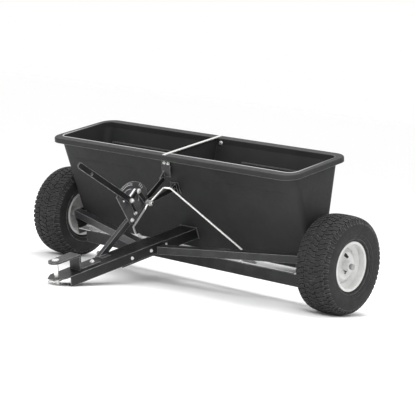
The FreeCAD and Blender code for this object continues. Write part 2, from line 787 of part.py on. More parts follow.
def lever_post():
    """The channel post from a foot on the tongue up to the back of the gauge plate."""
    low = (post_foot, tongue_top)
    length = math.dist(low, post_bolt)
    uy, uz = (post_bolt[0] - low[0]) / length, (post_bolt[1] - low[1]) / length
    start = (low[0] - 30 * uy, low[1] - 30 * uz)
    end = (post_bolt[0] + 14 * uy, post_bolt[1] + 14 * uz)
    depth = gauge_back - post_depth
    channel = side_plate(bar_outline(start, end, post_width), depth, gauge_back)
    inside = side_plate(bar_outline(start, (end[0] + 5, end[1] + 5), post_width - 2 * steel), depth, gauge_back - steel)
    channel = channel.cut(inside)
    channel = channel.cut(box(-100, 100, low[0] - 150, low[0] + 150, tongue_top - 100, tongue_top))
    half = post_foot_length / 2
    foot = box(depth, gauge_back + post_width, post_foot - half, post_foot + half, tongue_top, tongue_top + steel)
    return channel.fuse(foot).removeSplitter()


def upper_bracket():
    """The upright plate bolted under the hopper's lip, with a flange for the strap."""
    top, back = bracket_top, bracket_back
    edge = gauge_back - steel
    left, right = edge - bracket_width / 4, edge + bracket_width * 3 / 4
    plate = side_plate([(back, top), (back, bracket_bottom), (back - steel, bracket_bottom), (back - steel, top)],
                       left, right)
    pad = side_plate([(back, top), (wall_front(top - 18) - 0.2, top - 18), (back - steel, top - 18),
                      (back - steel, top)], left, right)
    (y, z), r = strap_bolt, strap_bar / 2
    flange = side_plate([(back - 1, bracket_bottom + 22), (back - 1, bracket_bottom), (y + r, z - r), (y - r, z - r),
                         (y - r, z + r)], edge - steel, edge)
    return plate.fuse([pad, flange]).removeSplitter()


def upper_strap():
    """The flat strap from the bracket's flange down to the gauge plate's rear corner."""
    return bar_link(strap_bolt, (rod_pin[0] + 16, rod_pin[1] + 4), strap_bar, gauge_back - steel, gauge_back)


# ---------------------------------------------------------------- assembly
def build():
    parts = {"hopper": hopper(), "hopper_divider": divider(), "divider_strip": divider_strip(),
             "metering_plate": metering_plate(), "closure_plate": closure_plate(),
             "front_rail": cross_rail(True), "rear_rail": cross_rail(False),
             "tongue_front": tongue_front(), "tongue_rear": tongue_rear(), "tongue_seat": tongue_seat(),
             "hitch_strap": hitch_strap(), "hitch_pin": hitch_pin(), "hairpin": hairpin(),
             "gauge_plate": gauge_plate(), "lever_pivot_bolt": pivot_bolt(), "control_lever": control_lever(),
             "control_link": control_link(), "rocker_arm": rocker(), "rocker_bracket": rocker_bracket(),
             "rod_left": control_rod(-1), "rod_right": control_rod(1), "lever_post": lever_post(),
             "upper_bracket": upper_bracket(), "upper_strap": upper_strap(), "axle": axle()}
    for name, side in (("left", -1), ("right", 1)):
        parts["tyre_" + name] = tyre(side)
        parts["rim_" + name] = rim(side)
        parts["axle_bushing_" + name] = axle_bushing(side)
        parts["axle_spacer_" + name] = axle_spacer(side)
        parts["hub_washer_" + name] = hub_washer(side)
        parts["end_foot_" + name] = end_foot(side)
        parts["axle_bracket_" + name] = axle_bracket(side)
        parts["brace_" + name] = brace(side)
    return parts


def park_angle():
    """Degrees of nose-down tip about the axle that lets the tongue's lower front edge touch the floor."""
    low = tongue_top - tongue_depth
    return math.degrees(math.asin(tyre_radius / math.hypot(tongue_nose, low)) + math.atan2(low, -tongue_nose))


def parked(y, z):
    """Where a level-frame point lies, above the floor, once the machine is tipped about its axle."""
    y, z = turned((y, z), (0, 0), park_angle())
    return y, z + tyre_radius


def origin_shift():
    """Puts the origin midway between the tyres' rear and the hitch strap's foremost point."""
    front = parked(pin_y - hitch_strap_width / 2, tongue_top + hitch_gap + hitch_strap_sheet)[0]
    return -(front + tyre_radius) / 2


if __name__ == "__main__":
    angle = park_angle()
    shift = origin_shift()
    for name, shape in build().items():
        shape.rotate(V(0, 0, 0), V(1, 0, 0), angle)
        shape.translate(V(0, shift, tyre_radius))
        shape.exportStep("parts/" + name + ".step")
    print("parked at", round(angle, 3), "degrees, shift", round(shift, 3), "closure travel", round(closure_travel, 3))
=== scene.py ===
import json
import math

import bmesh
import bpy
from mathutils import Matrix, Vector


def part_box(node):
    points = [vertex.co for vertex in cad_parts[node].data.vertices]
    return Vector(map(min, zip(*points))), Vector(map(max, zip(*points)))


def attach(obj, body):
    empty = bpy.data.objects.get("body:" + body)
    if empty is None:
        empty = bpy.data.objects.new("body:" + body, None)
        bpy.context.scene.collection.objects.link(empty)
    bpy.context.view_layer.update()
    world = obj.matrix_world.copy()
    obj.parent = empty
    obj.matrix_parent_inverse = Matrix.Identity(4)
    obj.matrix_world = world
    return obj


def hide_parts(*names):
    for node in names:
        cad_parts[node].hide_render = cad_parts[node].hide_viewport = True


# A towed drop spreader. Points below are in millimetres in the machine's own level frame, from the
# middle of the axle: X across, -Y to the tow vehicle, Z up. LEVEL puts them where it is parked.

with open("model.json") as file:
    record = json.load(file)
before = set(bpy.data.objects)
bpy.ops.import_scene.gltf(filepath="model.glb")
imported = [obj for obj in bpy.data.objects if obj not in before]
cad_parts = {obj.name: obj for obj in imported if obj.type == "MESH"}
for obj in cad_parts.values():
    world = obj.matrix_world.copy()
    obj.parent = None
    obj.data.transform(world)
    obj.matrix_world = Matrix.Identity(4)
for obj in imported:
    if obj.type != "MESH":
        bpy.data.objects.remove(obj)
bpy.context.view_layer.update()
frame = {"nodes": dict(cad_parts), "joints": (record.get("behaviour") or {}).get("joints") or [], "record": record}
nodes = frame["nodes"]
joints = {j["name"]: j for j in frame["joints"]}
AXLE = Vector((0, *joints["drive_wheel_turn"]["pos_m"][1:]))
TIP = math.atan2(*joints["shutter_slide"]["axis"][:0:-1])
LEVEL = Matrix.Translation(AXLE) @ Matrix.Rotation(TIP, 4, "X") @ Matrix.Scale(0.001, 4)


# ---------------------------------------------------------------- materials
def principled(name, color, roughness, metallic=0.0, specular=0.5):
    mat = bpy.data.materials.new(name)
    mat.use_nodes = True
    tree = mat.node_tree
    shader = tree.nodes["Principled BSDF"]
    shader.inputs["Base Color"].default_value = (*color, 1)
    shader.inputs["Roughness"].default_value = roughness
    shader.inputs["Metallic"].default_value = metallic
    shader.inputs["Specular IOR Level"].default_value = specular
    return mat, tree, shader


def noise(tree, scale, detail=4.0, rough=0.55):
    coord = tree.nodes.new("ShaderNodeTexCoord")
    node = tree.nodes.new("ShaderNodeTexNoise")
    node.inputs["Scale"].default_value = scale
    node.inputs["Detail"].default_value = detail
    node.inputs["Roughness"].default_value = rough
    tree.links.new(coord.outputs["Object"], node.inputs["Vector"])
    return node.outputs["Fac"]


def cells(tree, scale):
    coord = tree.nodes.new("ShaderNodeTexCoord")
    node = tree.nodes.new("ShaderNodeTexVoronoi")
    node.inputs["Scale"].default_value = scale
    tree.links.new(coord.outputs["Object"], node.inputs["Vector"])
    return node.outputs["Color"]


def ramp(tree, source, low, high, start=0.3, end=0.7):
    """Runs a factor through a two-stop colour ramp, low and high being greys or colours."""
    node = tree.nodes.new("ShaderNodeValToRGB")
    first, last = node.color_ramp.elements
    first.position, last.position = start, end
    first.color = (low, low, low, 1) if isinstance(low, float) else (*low, 1)
    last.color = (high, high, high, 1) if isinstance(high, float) else (*high, 1)
    tree.links.new(source, node.inputs["Fac"])
    return node.outputs["Color"]


def math_node(tree, operation, a, b):
    node = tree.nodes.new("ShaderNodeMath")
    node.operation = operation
    for socket, value in zip(node.inputs, (a, b)):
        if isinstance(value, float):
            socket.default_value = value
        else:
            tree.links.new(value, socket)
    return node.outputs["Value"]


def rounded_normal(tree, radius):
    """The surface normal, eased round the edges over a radius in metres."""
    node = tree.nodes.new("ShaderNodeBevel")
    node.samples = 6
    node.inputs["Radius"].default_value = radius
    return node.outputs["Normal"]


def edge_factor(tree, rounded):
    """1 along an edge, 0 on the flat: how far the eased normal leans from the true one."""
    geometry = tree.nodes.new("ShaderNodeNewGeometry")
    dot = tree.nodes.new("ShaderNodeVectorMath")
    dot.operation = "DOT_PRODUCT"
    tree.links.new(geometry.outputs["Normal"], dot.inputs[0])
    tree.links.new(rounded, dot.inputs[1])
    return ramp(tree, dot.outputs["Value"], 1.0, 0.0, 0.86, 0.985)


def blend_colours(tree, factor, a, b):
    node = tree.nodes.new("ShaderNodeMix")
    node.data_type = "RGBA"
    tree.links.new(factor, node.inputs["Factor"])
    tree.links.new(a, node.inputs["A"])
    tree.links.new(b, node.inputs["B"])
    return node.outputs["Result"]


def bump(tree, shader, source, height, distance, normal=None):
    node = tree.nodes.new("ShaderNodeBump")
    node.inputs["Strength"].default_value = height
    node.inputs["Distance"].default_value = distance
    tree.links.new(source, node.inputs["Height"])
    if normal:
        tree.links.new(normal, node.inputs["Normal"])
    tree.links.new(node.outputs["Normal"], shader.inputs["Normal"])


def edge_highlight_and_wear(tree, shader, rounded, flat, highlight_and_wear_colour, patchiness):
    """The flat colour, painted lighter in patches along the edges: a painted edge highlight, partly wear."""
    edge = edge_factor(tree, rounded)
    patches = ramp(tree, noise(tree, 70, 3), patchiness, 1.0)
    highlight_and_wear_mask = math_node(tree, "MULTIPLY", edge, patches)
    highlight_and_wear_shade = ramp(tree, noise(tree, 200, 2), highlight_and_wear_colour, tuple(c * 1.25 for c in highlight_and_wear_colour))
    tree.links.new(blend_colours(tree, highlight_and_wear_mask, flat, highlight_and_wear_shade), shader.inputs["Base Color"])


def moulded_plastic(name, edges_highlighted_and_worn=True):
    """Charcoal rotomoulded polyethylene: fine pebble, faint cloudiness, edges painted lighter as a painted
    highlight, partly wear.
    """
    mat, tree, shader = principled(name, (0.025, 0.025, 0.0255), 0.5, 0.0, 0.14)
    rounded = rounded_normal(tree, 0.0032)
    flat = ramp(tree, noise(tree, 7, 5), (0.022, 0.022, 0.0225), (0.031, 0.031, 0.0315))
    if edges_highlighted_and_worn:
        # Painted edge highlight, partly wear: the edges pale to 0.24 grey.
        edge_highlight_and_wear(tree, shader, rounded, flat, (0.24, 0.24, 0.24), 0.6)
    else:
        tree.links.new(flat, shader.inputs["Base Color"])
    tree.links.new(ramp(tree, noise(tree, 60), 0.44, 0.58), shader.inputs["Roughness"])
    bump(tree, shader, noise(tree, 1400, 2), 0.22, 0.0003, rounded)
    return mat


def painted_highlight_plastic():
    """The hopper's plastic painted pale as a painted highlight, brightest along the front and fading dark towards
    the rear.
    """
    mat, tree, shader = principled("painted_highlight_plastic", (0.2, 0.2, 0.2), 0.4, 0.0, 0.2)
    coord = tree.nodes.new("ShaderNodeTexCoord")
    split = tree.nodes.new("ShaderNodeSeparateXYZ")
    tree.links.new(coord.outputs["Object"], split.inputs["Vector"])
    front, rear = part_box("hopper")[0][1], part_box("hopper")[1][1]
    reach = tree.nodes.new("ShaderNodeMapRange")
    for socket, value in (("From Min", front), ("From Max", rear), ("To Min", 0.0), ("To Max", 1.0)):
        reach.inputs[socket].default_value = value
    tree.links.new(split.outputs["Y"], reach.inputs["Value"])
    # Painted highlight: pale at the front, darker towards the rear, as the light falls on the lip.
    tree.links.new(ramp(tree, reach.outputs["Result"], 0.34, 0.05, 0.1, 0.85), shader.inputs["Base Color"])
    tree.links.new(ramp(tree, noise(tree, 60), 0.34, 0.5), shader.inputs["Roughness"])
    bump(tree, shader, noise(tree, 1400, 2), 0.15, 0.0003)
    return mat


def powder_coat(name, depth):
    """Black powder coat: orange peel, and edges painted lighter as a painted highlight, partly wear; depth scales
    how light the black is.
    """
    mat, tree, shader = principled(name, (0.009 * depth, 0.009 * depth, 0.0095 * depth), 0.34, 0.0, 0.3)
    rounded = rounded_normal(tree, 0.0026)
    shades = ((0.0065, 0.0065, 0.007), (0.0125, 0.0125, 0.013))
    dark, pale = (tuple(c * depth for c in shade) for shade in shades)
    flat = ramp(tree, noise(tree, 25), dark, pale)
    # Painted edge highlight, partly wear: the edges pale to 0.4 grey.
    edge_highlight_and_wear(tree, shader, rounded, flat, (0.4, 0.4, 0.4), 0.35)
    tree.links.new(ramp(tree, noise(tree, 90), 0.28, 0.42), shader.inputs["Roughness"])
    bump(tree, shader, noise(tree, 900, 2), 0.12, 0.0003, rounded)
    return mat


def galvanised():
    """Galvanised sheet: crystal spangle over a dull bright skin."""
    mat, tree, shader = principled("galvanised_sheet", (0.88, 0.88, 0.89), 0.42, 0.1)
    tree.links.new(ramp(tree, cells(tree, 110), (0.9, 0.9, 0.91), (0.97, 0.97, 0.97), 0.1, 0.9),
                   shader.inputs["Base Color"])
    tree.links.new(ramp(tree, cells(tree, 110), 0.34, 0.5, 0.1, 0.9), shader.inputs["Roughness"])
    bump(tree, shader, noise(tree, 300, 2), 0.1, 0.0002, rounded_normal(tree, 0.0008))
    return mat


def zinc():
    """Bright zinc plate: fine mottling."""
    mat, tree, shader = principled("zinc_plate", (0.78, 0.78, 0.76), 0.3, 0.8)
    tree.links.new(ramp(tree, noise(tree, 160), (0.68, 0.68, 0.66), (0.84, 0.84, 0.82)),
                   shader.inputs["Base Color"])
    tree.links.new(ramp(tree, noise(tree, 400), 0.22, 0.38), shader.inputs["Roughness"])
    bump(tree, shader, noise(tree, 900, 2), 0.08, 0.0002, rounded_normal(tree, 0.0006))
    return mat


def rubber():
    """Tyre rubber with its raised edges painted lighter: a painted highlight, partly dust."""
    mat, tree, shader = principled("tyre_rubber", (0.017, 0.017, 0.0175), 0.7, 0.0, 0.3)
    rounded = rounded_normal(tree, 0.0017)
    flat = ramp(tree, noise(tree, 30, 6), (0.011, 0.011, 0.0115), (0.019, 0.019, 0.0185))
    # Painted highlight on the raised edges, partly dust.
    edge_highlight_and_wear(tree, shader, rounded, flat, (0.2, 0.2, 0.195), 0.1)
    tree.links.new(ramp(tree, noise(tree, 120), 0.6, 0.8), shader.inputs["Roughness"])
    bump(tree, shader, noise(tree, 700, 3), 0.2, 0.0003, rounded)
    return mat


def bare_steel():
    """Oiled bright-drawn steel: fine mottling, duller than the plating."""
    mat, tree, shader = principled("drawn_steel", (0.3, 0.3, 0.3), 0.38, 0.7)
    tree.links.new(ramp(tree, noise(tree, 120), (0.24, 0.24, 0.24), (0.36, 0.36, 0.355)),
                   shader.inputs["Base Color"])
    tree.links.new(ramp(tree, noise(tree, 300), 0.3, 0.48), shader.inputs["Roughness"])
    bump(tree, shader, noise(tree, 800, 2), 0.08, 0.0002, rounded_normal(tree, 0.0008))
    return mat


def rim_paint():
    """White rim enamel with faint soiling."""
    mat, tree, shader = principled("white_enamel", (0.6, 0.6, 0.59), 0.32)
    tree.links.new(ramp(tree, noise(tree, 18, 6), (0.52, 0.52, 0.51), (0.66, 0.66, 0.65)),
                   shader.inputs["Base Color"])
    tree.links.new(ramp(tree, noise(tree, 70), 0.26, 0.4), shader.inputs["Roughness"])
    bump(tree, shader, noise(tree, 500, 2), 0.08, 0.0002, rounded_normal(tree, 0.0008))
    return mat


MATERIALS = {
    "hopper_plastic": moulded_plastic("charcoal_plastic"),
    "black_steel": powder_coat("black_powder_coat", 1.0),
    "galvanised": galvanised(),
    "zinc": zinc(),
    "tyre_rubber": rubber(),
    "rim_paint": rim_paint(),
}
# Painted light: the black powder coat made 2.8 times lighter, the same in every other way, for the rails, braces,
# upper bracket, lever post, hitch strap and lever's lug web, which catch more light.
PAINTED_LIT_BLACK = powder_coat("painted_lit_powder_coat", 2.8)
DRAWN_STEEL = bare_steel()
# The same charcoal plastic without the painted edge highlight.
PLASTIC_NO_EDGE_HIGHLIGHT = moulded_plastic("plastic_no_edge_highlight", False)
# Painted highlight for the lip's bead.
PAINTED_HIGHLIGHT_EDGE = painted_highlight_plastic()
OTHER_FINISH = {
    "axle": DRAWN_STEEL,
    "gauge_plate": powder_coat("grey_powder_coat", 5.0),
    "hub_washer_left": MATERIALS["rim_paint"],
    "hub_washer_right": MATERIALS["rim_paint"],
}
for painted_lit_part in ("front_rail", "rear_rail", "brace_left", "brace_right", "upper_bracket", "lever_post",
              "hitch_strap"):
    OTHER_FINISH[painted_lit_part] = PAINTED_LIT_BLACK
node_slot = {s["node"]: s["material_slot"] for s in frame["record"]["subparts"]}
for name, obj in nodes.items():
    obj.data.materials.clear()
    obj.data.materials.append(OTHER_FINISH.get(name, MATERIALS[node_slot[name]]))


# ---------------------------------------------------------------- mesh helpers
def add_piece(name, bm, slot, body, smooth_angle=35, finish=None):
    """Turns a bmesh in level-frame millimetres into a piece that rides on a body."""
    mesh = bpy.data.meshes.new(name)
    bmesh.ops.recalc_face_normals(bm, faces=bm.faces)
    bm.to_mesh(mesh)
    bm.free()
    mesh.transform(LEVEL)
    mesh.materials.append(finish or MATERIALS[slot])
    obj = bpy.data.objects.new(name, mesh)
    bpy.context.scene.collection.objects.link(obj)
    for p in mesh.polygons:
        p.use_smooth = True
    mesh.set_sharp_from_angle(angle=math.radians(smooth_angle))
    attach(obj, body)
    return obj


def skin(bm, a, b):
    """Joins two closed rings of as many points by a band of faces."""
    for i in range(len(a)):
        j = (i + 1) % len(a)
        bm.faces.new((a[i], a[j], b[j], b[i]))


def facing(direction):
    return Vector(direction).to_track_quat("Z", "Y").to_matrix().to_4x4()


def lathe(bm, profile, place, steps=32):
    """Turns (radius, height) points about the local Z axis at a place; radius 0 closes to a point."""
    rings = []
    for r, h in profile:
        if r < 1e-6:
            rings.append([bm.verts.new(place @ Vector((0, 0, h)))])
            continue
        ring = []
        for i in range(steps):
            a = 2 * math.pi * i / steps
            ring.append(bm.verts.new(place @ Vector((r * math.cos(a), r * math.sin(a), h))))
        rings.append(ring)
    for a, b in zip(rings, rings[1:]):
        for i in range(steps):
            j = (i + 1) % steps
            if len(a) == 1:
                bm.faces.new((a[0], b[i], b[j]))
            elif len(b) == 1:
                bm.faces.new((a[i], a[j], b[0]))
            else:
                bm.faces.new((a[i], a[j], b[j], b[i]))


def hexagon(bm, place, across, height):
    """A hex head or nut with chamfered corners, standing on its local XY plane."""
    r = across / math.sqrt(3)
    corners = [Vector((math.cos(math.pi * i / 3), math.sin(math.pi * i / 3), 0)) for i in range(6)]
    rings = []
    for radius, h in ((r, 0), (r, height * 0.82), (r * 0.9, height)):
        rings.append([bm.verts.new(place @ (corner * radius + Vector((0, 0, h)))) for corner in corners])
    for a, b in zip(rings, rings[1:]):
        skin(bm, a, b)
    bm.faces.new(rings[-1])
    bm.faces.new(rings[0][::-1])


THREAD_PITCH = 1.25


def bolt(bm, at, direction, size, stub):
    """A washer, a hex head or nut, and the thread that stands past it by stub."""
    place = Matrix.Translation(Vector(at)) @ facing(direction)
    lathe(bm, [(0, 0), (size * 1.15, 0), (size * 1.15, size * 0.16), (size * 1.05, size * 0.22),
               (0, size * 0.22)], place)
    base = size * 0.2
    hexagon(bm, place @ Matrix.Translation((0, 0, base)), size * 1.6, size * 0.62)
    if stub:
        top = base + size * 0.6
        rings = [(0, top - 1)]
        turns = max(2, int(stub / THREAD_PITCH))
        for k in range(turns):
            crest = top + k * THREAD_PITCH
            rings += [(size * 0.5, crest), (size * 0.43, crest + 0.62)]
        end = top + turns * THREAD_PITCH
        rings += [(size * 0.4, end), (0, end)]
        lathe(bm, rings, place, 16)


def carriage_head(bm, at, direction, radius, height):
    """A round bolt head, domed."""
    place = Matrix.Translation(Vector(at)) @ facing(direction)
    rings = [(0, 0), (radius, 0), (radius, 0.8)]
    for k in range(1, 6):
        a = math.pi / 2 * k / 6
        rings.append((radius * math.cos(a), 0.8 + (height - 0.8) * math.sin(a)))
    rings.append((0, height))
    lathe(bm, rings, place, 24)


def bolts(name, body, items):
    """A group of plated fasteners, each a kind, a place, a direction and two sizes."""
    bm = bmesh.new()
    for kind, at, direction, size, height in items:
        head = bolt if kind == "hex" else carriage_head
        head(bm, at, direction, size, height)
    add_piece(name, bm, "zinc", body)


# ---------------------------------------------------------------- tyres
TYRE_RADIUS, TRACK_HALF = 165.0, 609.0
WHEEL_BODY = {-1: ("left", "free_wheel"), 1: ("right", "drive_wheel_and_axle")}
# half of the tread surface, from the middle of the crown out over the shoulder: (x, radius)
CROWN = [(0, 164.9), (12, 164.8), (24, 164.3), (36, 163.1), (46, 161.2), (53, 158.4), (58.5, 154.2),
         (62, 149), (64, 143)]
SIDEWALL = [(65.1, 136), (65.4, 128), (65.2, 119), (64.2, 110), (62.9, 104.5), (62.6, 101.5), (60.4, 97.5),
            (57.2, 91.5), (53.4, 86.3), (50.2, 84.4), (48.6, 82.5), (48.5, 77.1)]
INNER = [(40.5, 77.1), (42, 84), (52, 96), (56, 112), (57, 128), (54, 143), (44, 152), (24, 155.5), (0, 156)]
TREAD_DEPTH = 5.6
PITCHES = 56
PITCH = 2 * math.pi * TYRE_RADIUS / PITCHES
ROWS = [-37.0, 0.0, 37.0]
ROW_WIDTH = 32.5
BLOCK_LENGTH = 0.7 * PITCH
BLOCK_STEP = 3.6
SHOULDER_START, SHOULDER_END = 55.5, 74.0


def along(points):
    """Cumulative arc length along a polyline."""
    total = [0.0]
    for a, b in zip(points, points[1:]):
        total.append(total[-1] + math.dist(a, b))
    return total


CROWN_LENGTH = along(CROWN)


def crown_at(u):
    """(x, radius, outward x, outward radius) on the tread surface, u millimetres from the middle."""
    side, s = (1 if u >= 0 else -1), abs(u)
    for k in range(len(CROWN) - 1):
        if s <= CROWN_LENGTH[k + 1] or k == len(CROWN) - 2:
            (x0, r0), (x1, r1) = CROWN[k], CROWN[k + 1]
            span = CROWN_LENGTH[k + 1] - CROWN_LENGTH[k]
            t = (s - CROWN_LENGTH[k]) / span
            nx, nr = (r0 - r1) / span, (x1 - x0) / span
            return side * (x0 + (x1 - x0) * t), r0 + (r1 - r0) * t, side * nx, nr


def carcass(bm, centre, steps=144):
    outer = [(x, r - TREAD_DEPTH * max(0.0, min(1.0, (r - 141) / 12))) for x, r in CROWN]
    half = outer + SIDEWALL + INNER
    left = [(-x, r) for x, r in half[::-1]]
    profile = left[:-1] + half[:-1]
    rings = []
    for i in range(steps):
        a = 2 * math.pi * i / steps
        rings.append([bm.verts.new((centre + x, -r * math.sin(a), r * math.cos(a))) for x, r in profile])
    for i in range(steps):
        skin(bm, rings[i], rings[(i + 1) % steps])


def raised_block(bm, centre, u, v, outline, depth, inset):
    """A block on the tread surface from an outline in (across, round), its top edge drawn in a little."""
    fine = []
    for p, q in zip(outline, outline[1:] + outline[:1]):
        cuts = 3 if math.dist(p, q) > 6 else 1
        fine += [(p[0] + (q[0] - p[0]) * k / cuts, p[1] + (q[1] - p[1]) * k / cuts) for k in range(cuts)]
    rings = []
    for shrink, sink in ((0.0, depth + 1), (0.0, 0.7), (inset, 0.0)):
        ring = []
        for du, dv in fine:
            x, r, nx, nr = crown_at(u + du * (1 - shrink))
            x, r = x - nx * sink, r - nr * sink
            angle = (v + dv * (1 - shrink)) / TYRE_RADIUS
            ring.append(bm.verts.new((centre + x, -r * math.sin(angle), r * math.cos(angle))))
        rings.append(ring)
    for a, b in zip(rings, rings[1:]):
        skin(bm, a, b)
    bm.faces.new(rings[-1])


def stepped_outline(width, length, step):
    """Two halves side by side, shifted round the tyre against each other."""
    w, a, mid = width / 2, length / 2, width * 0.14
    return [(-w, -a - step), (-mid, -a - step), (mid, -a + step), (w, -a + step),
            (w, a + step), (mid, a + step), (-mid, a - step), (-w, a - step)]


def shoulder_outline(side):
    """A lug that narrows as it runs over the shoulder and down the sidewall."""
    reach = (SHOULDER_END - SHOULDER_START) / 2
    wide, narrow = 0.33 * PITCH, 0.2 * PITCH
    return [(-side * reach, -wide), (side * reach, -narrow + 2),
            (side * reach, narrow + 2), (-side * reach, wide)]


def sidewall_rings(bm, centre):
    """Moulded ribs round both sidewalls: a broad one and a fine one over the rim."""
    for side in (-1, 1):
        place = Matrix.Translation((centre, 0, 0)) @ facing((side, 0, 0))
        for x, r, half, height in ((62.3, 103, 4.5, 1.2), (57.4, 91.8, 1.6, 0.6)):
            swell = [(r + half * math.cos(t), x - 1.2 + (height + 1.2) * math.sin(t))
                     for t in (math.pi * k / 8 for k in range(9))]
            lathe(bm, swell, place, 128)


def tyre(side):
    name, body = WHEEL_BODY[side]
    bm = bmesh.new()
    centre = side * TRACK_HALF
    carcass(bm, centre)
    sidewall_rings(bm, centre)
    for row, u in enumerate(ROWS):
        for k in range(PITCHES):
            step = BLOCK_STEP if row % 2 else -BLOCK_STEP
            outline = stepped_outline(ROW_WIDTH, BLOCK_LENGTH, step)
            raised_block(bm, centre, u, (k + 0.5 * (row % 2)) * PITCH, outline, TREAD_DEPTH, 0.07)
    for edge in (-1, 1):
        u = edge * (SHOULDER_START + SHOULDER_END) / 2
        for k in range(PITCHES):
            raised_block(bm, centre, u, (k + 0.25) * PITCH, shoulder_outline(edge), 2.6, 0.06)
    obj = add_piece("turf_tyre_" + name, bm, "tyre_rubber", body, 40)
    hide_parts("tyre_" + name)


def valve(side):
    """A rubber snap-in valve stem on the rim's disc, leaning in towards the hub."""
    name, body = WHEEL_BODY[side]
    bm = bmesh.new()
    place = Matrix.Translation((side * (TRACK_HALF + 18), 0, 45)) @ facing((side * 0.8, 0, -0.6))
    lathe(bm, [(0, -5), (8.5, -5), (8.5, -1), (6.6, 2), (5.6, 6), (5.4, 16), (4.6, 19), (4.6, 25), (4, 26.5),
               (0, 26.5)], place, 20)
    add_piece("valve_stem_" + name, bm, "tyre_rubber", body, 30)


def grease_nipple(side):
    """A grease nipple standing on the hub tube."""
    name, body = WHEEL_BODY[side]
    bm = bmesh.new()
    angle = math.radians(23)
    out = Vector((0, -math.sin(angle), -math.cos(angle)))
    place = Matrix.Translation(Vector((side * (TRACK_HALF + 33), 0, 0)) + out * 16.5) @ facing(out)
    hexagon(bm, place, 9, 4)
    lathe(bm, [(0, 4), (2.6, 4), (2.2, 6.5), (3.2, 8), (3.2, 9.2), (2, 10.6), (0, 10.6)], place, 16)
    add_piece("grease_nipple_" + name, bm, "black_steel", body, 30)


for side in (-1, 1):
    tyre(side)
    valve(side)
    grease_nipple(side)

# ---------------------------------------------------------------- fasteners
bolts("tongue_bolts", "spreader_frame", [
    ("hex", (1.4, -525, 53), (0, 0, 1), 7.5, 1.5),
    ("hex", (38, -375, 29), (1, 0, 0), 5.4, 2.0),
    ("hex", (38, -281, 29), (1, 0, 0), 5.4, 2.0),
    ("round", (34.9, -201, 31), (1, 0, 0), 5, 2.5),
    ("round", (-38, -375, 29), (-1, 0, 0), 8, 4),
    ("round", (-38, -281, 29), (-1, 0, 0), 8, 4),
    ("round", (-34.9, -201, 31), (-1, 0, 0), 5, 2.5),
    ("hex", (-38, -456, 58), (-1, 0, 0), 6, 2.0)])
bolts("bracket_bolts", "spreader_frame", [
    ("hex", (-22, -124.7, 291), (0, -1, 0), 5, 1.5),
    ("hex", (-4, -124.7, 290), (0, -1, 0), 5, 1.5)])
bolts("gauge_bolts", "spreader_frame", [
    ("hex", (-20, -285, 154), (1, 0, 0), 7, 3.0),
    ("hex", (-20, -303, 133), (1, 0, 0), 7, 3.0),
    ("hex", (-9.2, -308, 204), (1, 0, 0), 7.4, 2.0),
    ("round", (-20, -336.5, 208), (1, 0, 0), 4.2, 3)])
bolts("crank_pin_nut", "lever", [("hex", (-9.2, -273, 229), (1, 0, 0), 7.4, 0.0)])
bolts("rod_pin_nut", "rocker", [("round", (17.4, -241, 182), (1, 0, 0), 6, 3.0)])
bolts("foot_bolts", "spreader_frame", [
    ("hex", (side * 491, y, -38), (0, 0, 1), 6, 1.5) for side in (-1, 1) for y in (-40, 47)])
bolts("divider_bolts", "spreader_frame", [
    ("hex", (22, 126.5, 309), (0, -1, 0), 7, 0.0)])


# ---------------------------------------------------------------- gauge
LEVER_PIVOT = (-308.0, 204.0)
GAUGE_FACE = -20.0


def gauge_at(x, degrees, radius):
    a = math.radians(degrees)
    return Vector((x, LEVER_PIVOT[0] + radius * math.cos(a), LEVER_PIVOT[1] + radius * math.sin(a)))


def band(bm, angles, radii, height, steps=1):
    """A raised band on the gauge plate between two angles and two radii about the lever's pivot."""
    section = ((-0.2, radii[0]), (height, radii[0]), (height, radii[1]), (-0.2, radii[1]))
    corners = []
    for k in range(steps + 1):
        degrees = angles[0] + (angles[1] - angles[0]) * k / steps
        corners.append([bm.verts.new(gauge_at(GAUGE_FACE + h, degrees, r)) for h, r in section])
    for a, b in zip(corners, corners[1:]):
        skin(bm, a, b)
    bm.faces.new(corners[0])
    bm.faces.new(corners[-1])


def gauge_scale():
    """The raised scale: two arcs with ticks between the plate's edge and the outer one."""
    bm = bmesh.new()
    band(bm, (70, 129), (50.4, 51.6), 0.4, 24)
    band(bm, (72, 124), (36.9, 38.1), 0.4, 24)
    band(bm, (-16, 5), (44.2, 45.6), 0.4, 8)
    for degrees in range(74, 131, 7):
        band(bm, (degrees - 0.5, degrees + 0.5), (53, 58.5), 0.4)
    for degrees in (25, 32, 39):
        band(bm, (degrees - 0.5, degrees + 0.5), (62, 74), 0.4)
    add_piece("gauge_scale", bm, "rim_paint", "spreader_frame", 30)


gauge_scale()


def prism(bm, outline, x0, x1):
    """A Y-Z outline drawn out along X."""
    ends = [[bm.verts.new((x, y, z)) for y, z in outline] for x in (x0, x1)]
    skin(bm, *ends)
    for end in ends:
        bm.faces.new(end)


def plate_along(bm, p, q, width, x0, x1):
    """A flat bar with square ends between two Y-Z points, from x0 to x1."""
    (py, pz), (qy, qz) = p, q
    length = math.dist(p, q)
    ny, nz = -(qz - pz) / length * width / 2, (qy - py) / length * width / 2
    outline = [(py + ny, pz + nz), (qy + ny, qz + nz), (qy - ny, qz - nz), (py - ny, pz - nz)]
    prism(bm, outline, x0, x1)


CRANK_PIN = (-273.0, 229.0)
LUG_AXIS = Vector((CRANK_PIN[0] - LEVER_PIVOT[0], CRANK_PIN[1] - LEVER_PIVOT[1])).normalized()
LUG_SIDE = Vector((-LUG_AXIS.y, LUG_AXIS.x))


def lug_point(forward, aside):
    """A Y-Z point beside the lever's lug, from the pivot along it and across it."""
    point = Vector(LEVER_PIVOT) + LUG_AXIS * forward + LUG_SIDE * aside
    return (point.x, point.y)


